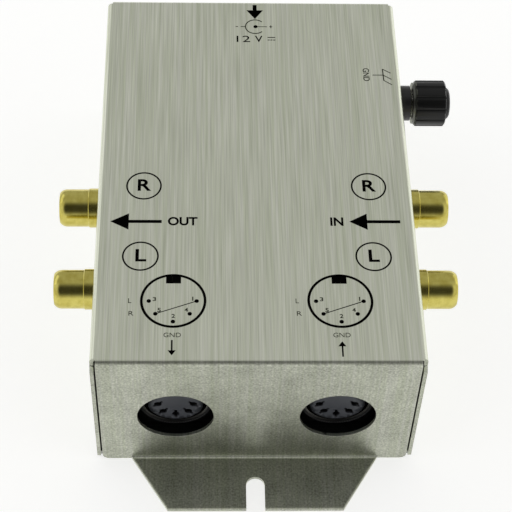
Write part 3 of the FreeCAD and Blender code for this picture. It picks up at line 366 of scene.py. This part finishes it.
def printing_ink():
    """Black ink, a little thin where the brushed grain shows through."""
    finish = Finish("printing_ink", shade(8, 8, 7), 0.5, Specular_IOR_Level=0.0)
    worn = finish.grain(0.25, 4.0, 0.25, detail=3.0)
    finish.paint(Base_Color=finish.mix(worn.between(0.62, 0.85), shade(6, 6, 5), shade(34, 35, 30)),
                 Roughness=0.36 + 0.2 * worn)
    finish.relief(worn, 0.004)
    return finish.material


def fine_ink():
    """The thinner grey of the smallest lettering."""
    finish = Finish("fine_printing_ink", shade(72, 76, 60), 0.5, Specular_IOR_Level=0.0)
    worn = finish.grain(0.2, 2.0, 0.2, detail=3.0)
    finish.paint(Base_Color=finish.mix(worn.between(0.4, 0.8), shade(50, 53, 42), shade(92, 95, 80)),
                 Roughness=0.4 + 0.2 * worn)
    finish.relief(worn, 0.004)
    return finish.material


CASE_METAL = brushed_sheet()
ZINC = plated_sheet()
SCREW_STEEL = plated_metal("screw_steel", shade(168, 168, 166), 0.28, 0.3)
RING_PLATE = plated_metal("ring_plate", shade(104, 105, 99), 0.3, 0.2)
NICKEL = plated_metal("nickel_plate", shade(205, 204, 196), 0.18, 0.2)
TIN = plated_metal("tinned_metal", shade(196, 197, 198), 0.32, 0.3)
BRASS = plated_metal("turned_brass", shade(206, 176, 104), 0.22, 0.3)
GOLD = gold_plate()
DIN_BLACK = din_moulding()
SOCKET_BLACK = moulding("socket_moulding", shade(30, 30, 31), 0.4)
KNOB_BLACK = moulding("knob_moulding", shade(15, 15, 15), 0.3, 0.35, 0.006, Specular_IOR_Level=0.35)
COLLAR_BLACK = moulding("collar_moulding", shade(24, 24, 25), 0.35)
INSULATOR = moulding("insulator_moulding", shade(214, 212, 203), 0.4, 0.3, 0.006, 0.08)
CHIP_BLACK = moulding("chip_moulding", shade(38, 38, 39), 0.5, 0.18, 0.008)
FILM_RED = moulding("film_box", shade(168, 52, 40), 0.22, 0.5, 0.006, 0.16, Coat_Weight=0.3)
WIRE_RED = moulding("signal_jacket", shade(176, 38, 32), 0.38, 0.5, 0.004, 0.12)
WIRE_GREEN = moulding("earth_jacket", shade(92, 150, 50), 0.38, 0.5, 0.004, 0.12)
BOARD_BLACK = board_mask()
CAN_SLEEVE = can_sleeve()
RESISTOR_COAT = resistor_coat()
INK = printing_ink()
FINE_INK = fine_ink()

NODE_FINISH = {
    "cover": CASE_METAL, "base_plate": ZINC, "base_screws": SCREW_STEEL,
    "board_standoffs": NICKEL, "board_screws": SCREW_STEEL, "circuit_board": BOARD_BLACK,
    "phono_nuts": NICKEL, "phono_solder_tags": TIN,
    "power_socket_body": SOCKET_BLACK, "power_socket_pin": NICKEL, "power_socket_spring": TIN,
    "ground_stud": NICKEL, "ground_collar": COLLAR_BLACK, "ground_inner_washer": COLLAR_BLACK,
    "ground_solder_tag": TIN, "ground_nut": NICKEL, "ground_clamp_ring": RING_PLATE,
    "ground_knob": KNOB_BLACK, "ground_knob_insert": BRASS,
    "left_amplifier_chip": CHIP_BLACK, "right_amplifier_chip": CHIP_BLACK, "chip_sockets": CHIP_BLACK,
    "reservoir_capacitors": CAN_SLEEVE, "coupling_capacitors": CAN_SLEEVE,
    "film_capacitors": FILM_RED, "resistors": RESISTOR_COAT,
    "voltage_regulator": CHIP_BLACK, "protection_diode": CHIP_BLACK,
    "signal_wires": WIRE_RED, "ground_wire": WIRE_GREEN,
}
for word in HANDS:
    NODE_FINISH[word + "_din_body"] = DIN_BLACK
    NODE_FINISH[word + "_din_shield"] = NICKEL
    NODE_FINISH[word + "_din_contacts"] = TIN
    for channel in PHONO_PLACES:
        NODE_FINISH[f"{word}_{channel}_phono_shell"] = GOLD
        NODE_FINISH[f"{word}_{channel}_phono_insulator"] = INSULATOR
        NODE_FINISH[f"{word}_{channel}_phono_contact"] = GOLD


# Making pieces

def only(*things):
    """Select just these objects."""
    bpy.ops.object.select_all(action="DESELECT")
    for thing in things:
        thing.select_set(True)
    bpy.context.view_layer.objects.active = things[0]


def coat(thing, material):
    thing.data.materials.clear()
    thing.data.materials.append(material)


def settle(thing, material, body="chassis", replaces=()):
    """Give a finished piece its material and its body, and hide the solids it stands for."""
    coat(thing, material)
    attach(thing, body)
    if replaces:
        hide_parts(*replaces)
    return thing


def soften(thing, angle):
    """Shade round faces smooth and keep the large flat ones flat."""
    bpy.ops.object.shade_smooth_by_angle(angle=math.radians(angle))
    bpy.ops.object.modifier_add(type="WEIGHTED_NORMAL")
    weighted = thing.modifiers[-1]
    weighted.keep_sharp = True
    weighted.weight = 100
    bpy.ops.object.modifier_apply(modifier=weighted.name)


def rounded_copy(node, name, material, body="chassis", angle=SMOOTH_ANGLE):
    """A copy of a solid whose round faces are shaded smooth."""
    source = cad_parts[node]
    copy = bpy.data.objects.new(name, source.data.copy())
    bpy.context.scene.collection.objects.link(copy)
    only(copy)
    bpy.ops.object.mode_set(mode="EDIT")
    bpy.ops.mesh.select_all(action="SELECT")
    bpy.ops.mesh.remove_doubles(threshold=MERGE_REACH)
    bpy.ops.object.mode_set(mode="OBJECT")
    soften(copy, angle)
    return settle(copy, material, body, (node,))


# Printed marks, placed in millimetres on the top

INK_DEPTH = 0.02
LETTER_LINE = 0.36
DIAGRAM_LINE = 0.56


def circle_points(x, y, radius, start=0.0, sweep=360.0, count=72):
    closed = sweep >= 360
    steps = count if closed else max(8, int(count * sweep / 360))
    return [(x + radius * math.cos(math.radians(start + sweep * step / steps)),
             y + radius * math.sin(math.radians(start + sweep * step / steps)))
            for step in range(steps if closed else steps + 1)]


def ring(x, y, outside, line):
    return [circle_points(x, y, outside), circle_points(x, y, outside - line)]


def open_ring(x, y, outside, line, start, sweep):
    outer = circle_points(x, y, outside, start, sweep)
    inner = circle_points(x, y, outside - line, start, sweep)
    return [outer + inner[::-1]]


def dot(x, y, radius):
    return [circle_points(x, y, radius, count=24)]


def bar(start, finish, line):
    (x, y), (far_x, far_y) = start, finish
    length = math.hypot(far_x - x, far_y - y)
    off_x = -(far_y - y) / length * line / 2
    off_y = (far_x - x) / length * line / 2
    return [[(x + off_x, y + off_y), (x - off_x, y - off_y), (far_x - off_x, far_y - off_y),
             (far_x + off_x, far_y + off_y)]]


def arrow(tail, tip, line, head_length, head_width):
    """One outline: a straight shaft and a three-cornered head."""
    (x, y), (far_x, far_y) = tail, tip
    length = math.hypot(far_x - x, far_y - y)
    along = ((far_x - x) / length, (far_y - y) / length)
    neck = length - head_length
    corners = [(0, line / 2), (neck, line / 2), (neck, head_width / 2), (length, 0),
               (neck, -head_width / 2), (neck, -line / 2), (0, -line / 2)]
    return [[(x + along[0] * far - along[1] * off, y + along[1] * far + along[0] * off)
             for far, off in corners]]


def ink(outlines):
    """A thin layer of ink on the top, filled between its outlines."""
    flat = bpy.data.curves.new("ink", "CURVE")
    flat.dimensions = "2D"
    flat.fill_mode = "BOTH"
    flat.extrude = INK_DEPTH / 2 * MM
    for points in outlines:
        spline = flat.splines.new("POLY")
        spline.points.add(len(points) - 1)
        for corner, (x, y) in zip(spline.points, points):
            corner.co = (x * MM, y * MM, 0, 1)
        spline.use_cyclic_u = True
    mark = bpy.data.objects.new("ink", flat)
    bpy.context.scene.collection.objects.link(mark)
    only(mark)
    bpy.ops.object.convert(target="MESH")
    mark = bpy.context.view_layer.objects.active
    mark.data.transform(Matrix.Translation(millimetres(0, 0, CASE_TOP - INK_DEPTH / 2)))
    return mark


def words(text, low, high, weight=0.0, quarter_turn=False):
    """Lettering that fills a rectangle of the top, read from the front or from the left."""
    bpy.ops.object.select_all(action="DESELECT")
    bpy.ops.object.text_add()
    line = bpy.context.view_layer.objects.active
    line.data.body = text
    line.data.offset = weight
    line.data.resolution_u = 6
    only(line)
    bpy.ops.object.convert(target="MESH")
    line = bpy.context.view_layer.objects.active
    if quarter_turn:
        line.data.transform(Matrix.Rotation(math.radians(-90), 4, "Z"))
    corners = [vertex.co for vertex in line.data.vertices]
    near = Vector([min(corner[axis] for corner in corners) for axis in (0, 1)])
    far = Vector([max(corner[axis] for corner in corners) for axis in (0, 1)])
    grow = [(high[axis] - low[axis]) * MM / (far[axis] - near[axis]) for axis in (0, 1)]
    line.data.transform(Matrix.Translation((-near.x, -near.y, 0)))
    line.data.transform(Matrix.Diagonal((grow[0], grow[1], 1, 1)))
    line.data.transform(Matrix.Translation(millimetres(low[0], low[1], CASE_TOP - INK_DEPTH)))
    bpy.ops.object.mode_set(mode="EDIT")
    bpy.ops.mesh.select_all(action="SELECT")
    bpy.ops.mesh.remove_doubles(threshold=MERGE_REACH / 10)
    bpy.ops.mesh.extrude_region_move(TRANSFORM_OT_translate={"value": (0, 0, INK_DEPTH * MM)})
    bpy.ops.mesh.select_all(action="SELECT")
    bpy.ops.mesh.normals_make_consistent(inside=False)
    bpy.ops.object.mode_set(mode="OBJECT")
    return line


def printed(name, marks, material):
    """Join marks to one printed piece on the cover."""
    only(*marks)
    bpy.ops.object.join()
    piece = bpy.context.view_layer.objects.active
    piece.name = name
    settle(piece, material)


def channel_signs():
    """The ringed letters over the phono sockets and the arrows with their words."""
    ring_radius = 3.85
    shaft = 0.8
    head_width = 4.4
    words_front = -16.75
    words_back = -14.45
    marks = []
    for x, y, letter, half in ((-24.1, -5.8, "R", 1.45), (24.6, -5.8, "R", 1.45),
                               (-24.4, -25.0, "L", 1.15), (24.5, -25.0, "L", 1.15)):
        marks.append(ink(ring(x, y, ring_radius, LETTER_LINE)))
        marks.append(words(letter, (x - half + 0.1, y - 1.4), (x + half + 0.1, y + 1.85), 0.022))
    marks.append(ink(arrow((-20.1, -15.7), (-31.0, -15.7), shaft, 3.9, head_width)))
    marks.append(ink(arrow((30.8, -15.6), (19.9, -15.6), shaft, 3.8, head_width)))
    marks.append(words("OUT", (-18.8, words_front), (-12.5, words_back), 0.03))
    marks.append(words("IN", (15.8, words_front), (18.6, words_back), 0.03))
    printed("channel_signs", marks, INK)


def din_diagrams():
    """The plans of the two five-way sockets with their earth arrows."""
    plan_radius = 6.8
    pin_radius = 0.46
    pins = ((-5.0, -0.1), (4.8, -0.1), (-3.6, -3.3), (3.4, -3.3), (0.0, -5.25))
    numbers = (("3", -3.85, 0.4), ("1", 4.0, 0.5), ("5", -2.85, -2.35), ("4", 2.7, -2.3),
               ("2", 0.05, -3.85))
    marks = []
    small = []
    y = -36.5
    for x, arrow_tail, arrow_tip in ((-17.4, -46.3, -50.0), (16.9, -50.3, -46.6)):
        marks.append(ink(ring(x, y, plan_radius, DIAGRAM_LINE)))
        marks.append(ink(bar((x, y + 4.4), (x, y + 6.65), 3.1)))
        for off_x, off_y in pins:
            marks.append(ink(dot(x + off_x, y + off_y, pin_radius)))
        marks.append(ink(arrow((x - 0.15, arrow_tail), (x - 0.15, arrow_tip), 0.34, 1.2, 1.6)))
        marks.append(ink(bar((x - 3.6, y - 3.3), (x + 4.8, y - 0.1), 0.19)))
        for number, off_x, off_y in numbers:
            half = 0.12 if number == "1" else 0.36
            small.append(words(number, (x + off_x - half, y + off_y - 0.5),
                               (x + off_x + half, y + off_y + 0.5), 0.02))
        small.append(words("GND", (x - 1.85, -45.6), (x + 1.65, -44.5)))
        left_edge = x - 9.2
        small.append(words("L", (left_edge, y - 0.6), (left_edge + 0.65, y + 0.55)))
        small.append(words("R", (left_edge + 0.15, y - 3.75), (left_edge + 1.15, y - 2.65)))
    printed("din_diagrams", marks, INK)
    printed("din_diagram_lettering", small, FINE_INK)


def power_signs():
    """The arrow, voltage and polarity marks in front of the power socket."""
    x = 0.95
    y = 43.3
    marks = [ink(arrow((x - 0.1, 50.6), (x - 0.1, 45.9), 0.95, 2.9, 3.9)),
             ink(dot(x, y, 0.5)),
             words("12", (-3.55, 38.2), (-0.4, 40.25)),
             words("V", (0.75, 38.2), (2.5, 40.25), 0.01),
             ink(bar((3.7, 39.75), (5.5, 39.75), 0.22))]
    for step in range(3):
        marks.append(ink(bar((3.7 + step * 0.65, 38.9), (4.2 + step * 0.65, 38.9), 0.24)))
    thin = [ink(open_ring(x - 0.1, y, 2.4, 0.26, 45, 270)),
            ink(bar((x + 0.4, y), (x + 2.7, y), 0.18)),
            ink(bar((x - 3.5, y), (x - 2.4, y), 0.18)),
            ink(bar((x + 3.25, y), (x + 3.95, y), 0.2)),
            ink(bar((x + 3.6, y - 0.45), (x + 3.6, y + 0.45), 0.2)),
            ink(bar((x - 4.7, y), (x - 4.1, y), 0.18))]
    printed("power_signs", marks, INK)
    printed("power_polarity_sign", thin, FINE_INK)


def earth_sign():
    """The turned lettering and the chassis symbol beside the earth terminal."""
    marks = [words("GND", (25.4, 25.85), (26.9, 29.9), 0.01, quarter_turn=True),
             ink(bar((27.6, 27.75), (30.05, 27.75), 0.2)),
             ink(bar((30.0, 29.7), (30.1, 26.0), 0.26)),
             ink(bar((30.0, 29.65), (31.8, 28.4), 0.2)),
             ink(bar((30.05, 27.75), (31.9, 26.4), 0.2)),
             ink(bar((30.1, 26.05), (31.9, 24.7), 0.2))]
    printed("earth_sign", marks, FINE_INK)


# The visible metal and plastic

def cover_skin():
    """The folded cover, its top lowered by the thickness of the ink so that the ink lies flush."""
    skin = rounded_copy("cover", "cover_skin", CASE_METAL)
    for vertex in skin.data.vertices:
        if vertex.co.z > (CASE_TOP - 0.005) * MM:
            vertex.co.z -= INK_DEPTH * MM


def turned(name, profile, at, hand, material, node):
    """A turned piece whose axis points out of a side: rings of (distance from the side, radius)."""
    bpy.ops.object.select_all(action="DESELECT")
    bpy.ops.mesh.primitive_circle_add(vertices=TURNED_SIDES, radius=profile[0][1] * MM)
    piece = bpy.context.view_layer.objects.active
    piece.name = name
    bpy.ops.object.mode_set(mode="EDIT")
    bpy.ops.mesh.select_all(action="SELECT")
    for (far, radius), (next_far, next_radius) in zip(profile, profile[1:] + profile[:1]):
        bpy.ops.mesh.extrude_region_move(TRANSFORM_OT_translate={"value": (0, 0, (next_far - far) * MM)})
        grow = next_radius / radius
        bpy.ops.transform.resize(value=(grow, grow, 1), center_override=(0, 0, 0))
    bpy.ops.mesh.select_all(action="SELECT")
    bpy.ops.mesh.remove_doubles(threshold=MERGE_REACH)
    bpy.ops.mesh.normals_make_consistent(inside=False)
    bpy.ops.object.mode_set(mode="OBJECT")
    start = Matrix.Translation((0, 0, profile[0][0] * MM))
    piece.data.transform(Matrix.Translation(at) @ Matrix.Rotation(hand * math.pi / 2, 4, "Y") @ start)
    soften(piece, SMOOTH_ANGLE)
    settle(piece, material, replaces=(node,))


# A phono shell in millimetres: radii, then distances out from the side of the case
SHELL_BORE = 1.9
SHELL_BUSH = 3.0
SHELL_COLLAR = 4.35
SHELL_BARREL = 4.15
SHELL_MOUTH = 3.45
BUSH_END = -7.0
MOUTH_FLOOR = 1.2
COLLAR_END = 2.45
NOSE_START = 7.2
NOSE_END = 8.75
SHELL_BEVEL = 0.15


def phono_profile():
    """The section of a gilt shell: bush, collar, barrel and a nose rounded down to the mouth."""
    length = NOSE_END - NOSE_START
    drop = SHELL_BARREL - SHELL_MOUTH
    curve = (length ** 2 + drop ** 2) / (2 * drop)
    reach = math.asin(length / curve)
    steps = 8
    nose = [(NOSE_START + curve * math.sin(reach * step / steps),
             SHELL_BARREL - curve * (1 - math.cos(reach * step / steps))) for step in range(steps + 1)]
    return [(BUSH_END, SHELL_BORE), (BUSH_END, SHELL_BUSH), (0.0, SHELL_BUSH), (0.0, SHELL_COLLAR),
            (COLLAR_END - SHELL_BEVEL, SHELL_COLLAR), (COLLAR_END, SHELL_COLLAR - SHELL_BEVEL),
            (COLLAR_END, SHELL_BARREL), (COLLAR_END + SHELL_BEVEL, SHELL_BARREL),
            (NOSE_START - 0.2, SHELL_BARREL), *nose, (NOSE_END - SHELL_BEVEL, SHELL_MOUTH),
            (MOUTH_FLOOR, SHELL_MOUTH), (MOUTH_FLOOR, SHELL_BORE)]


def visible_fittings():
    """Smoothly shaded forms of what shows through or outside the case."""
    shell = phono_profile()
    for word, hand in HANDS.items():
        rounded_copy(word + "_din_body", word + "_din_front", DIN_BLACK)
        rounded_copy(word + "_din_shield", word + "_din_sleeve", NICKEL)
        for channel, spot in PHONO_PLACES.items():
            stem = f"{word}_{channel}_phono_"
            at = millimetres(hand * CASE_SIDE, spot, PHONO_AXIS)
            turned(stem + "barrel", shell, at, hand, GOLD, stem + "shell")
            rounded_copy(stem + "insulator", stem + "bushing", INSULATOR)
            rounded_copy(stem + "contact", stem + "centre", GOLD)
    rounded_copy("ground_collar", "earth_collar", COLLAR_BLACK)
    rounded_copy("ground_stud", "earth_stud", NICKEL)
    rounded_copy("ground_clamp_ring", "earth_ring", RING_PLATE, "clamp_ring")
    rounded_copy("ground_knob", "earth_knob", KNOB_BLACK, "knob", 25)
    rounded_copy("ground_knob_insert", "earth_knob_bush", BRASS, "knob")
    rounded_copy("power_socket_body", "power_inlet", SOCKET_BLACK)
    rounded_copy("power_socket_pin", "power_inlet_pin", NICKEL)
    rounded_copy("base_screws", "base_plate_screws", SCREW_STEEL)


# Floor, lamps and camera, in metres

FLOOR_SIZE = 6.0
FLOOR_DROP = 0.0002
FLOOR_GLOW = 0.66
LAMP_AIM = (0, 0, 0.03)


def floor():
    """Pale paper that looks brighter, straight on and in reflections, than the light it throws."""
    bpy.ops.object.select_all(action="DESELECT")
    bpy.ops.mesh.primitive_plane_add(size=FLOOR_SIZE, location=(0, 0, -FLOOR_DROP))
    ground = bpy.context.view_layer.objects.active
    ground.name = "floor"
    paper = Finish("pale_floor", (0.64, 0.64, 0.63, 1), 0.9, Specular_IOR_Level=0.0)
    seen = paper.ray("Is Camera Ray").larger(paper.ray("Is Glossy Ray"))
    glow = paper.node("ShaderNodeEmission", None, {"Strength": seen * FLOOR_GLOW})
    both = paper.node("ShaderNodeAddShader", None, {0: Wire(paper, paper.shader.outputs[0]), 1: glow})
    paper.feed(paper.tree.nodes["Material Output"].inputs["Surface"], both)
    coat(ground, paper.material)


def lamp(name, at, width, height, power):
    """A soft rectangular lamp that shines on the middle of the case."""
    light = bpy.data.lights.new(name, "AREA")
    light.shape = "RECTANGLE"
    light.size = width
    light.size_y = height
    light.energy = power
    holder = bpy.data.objects.new(name, light)
    bpy.context.scene.collection.objects.link(holder)
    holder.location = at
    holder.rotation_euler = (Vector(LAMP_AIM) - Vector(at)).to_track_quat("-Z", "Y").to_euler()


def patch(walls, towards, outside, inside, level_outside, level_inside):
    """A soft change of brightness round one direction, its edges given as cosines."""
    heading = walls.node("ShaderNodeTexCoord", output="Generated")
    nearness = walls.node("ShaderNodeVectorMath", {"operation": "DOT_PRODUCT"},
                          {0: heading, 1: Vector(towards).normalized()}, output="Value")
    return walls.node("ShaderNodeMapRange", {"interpolation_type": "SMOOTHSTEP"},
                      {"Value": nearness, "From Min": outside, "From Max": inside,
                       "To Min": level_outside, "To Max": level_inside}, output="Result")


def room():
    """A plain bright room, darker round the camera's place and a little darker at the back."""
    world = bpy.data.worlds.new("plain_room")
    bpy.context.scene.world = world
    walls = Nodes(world)
    round_camera = patch(walls, (-0.03, -0.67, 0.74), 0.66, 0.98, 0.8, 0.05)
    at_back = patch(walls, (0, 0.75, 0.66), 0.2, 0.8, 1.0, 0.62)
    level = round_camera * at_back
    background = walls.tree.nodes["Background"]
    walls.feed(background.inputs["Strength"], walls.ray("Is Camera Ray").larger(level))
    walls.feed(background.inputs["Color"], (1.0, 1.0, 0.985, 1))
    lamp("left_lamp", (-0.6, 0.36, 0.42), 0.7, 0.4, 0.45)
    lamp("right_lamp", (0.6, 0.42, 0.2), 0.6, 0.4, 0.4)


def camera():
    """The photograph's viewpoint, found from the case's corners: angles in radians."""
    yaw = 0.0550
    pitch = 0.9129
    roll = 0.0457
    place = millimetres(-11.507, -229.868, 302.311)
    forward = Vector((math.sin(yaw) * math.cos(pitch), math.cos(yaw) * math.cos(pitch), -math.sin(pitch)))
    level = Vector((math.cos(yaw), -math.sin(yaw), 0))
    up = level.cross(forward)
    across = math.cos(roll) * level + math.sin(roll) * up
    upwards = -math.sin(roll) * level + math.cos(roll) * up
    turn = Matrix((across, upwards, -forward)).transposed().to_4x4()
    view = bpy.data.cameras.new("camera")
    view.sensor_width = 36.0
    view.lens = 112.67
    view.clip_start = 0.01
    holder = bpy.data.objects.new("camera", view)
    bpy.context.scene.collection.objects.link(holder)
    holder.matrix_world = Matrix.Translation(place) @ turn
    bpy.context.scene.camera = holder


for node, material in NODE_FINISH.items():
    coat(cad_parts[node], material)
cover_skin()
visible_fittings()
channel_signs()
din_diagrams()
power_signs()
earth_sign()
floor()
room()
camera()
bpy.context.scene.view_settings.view_transform = "Standard"
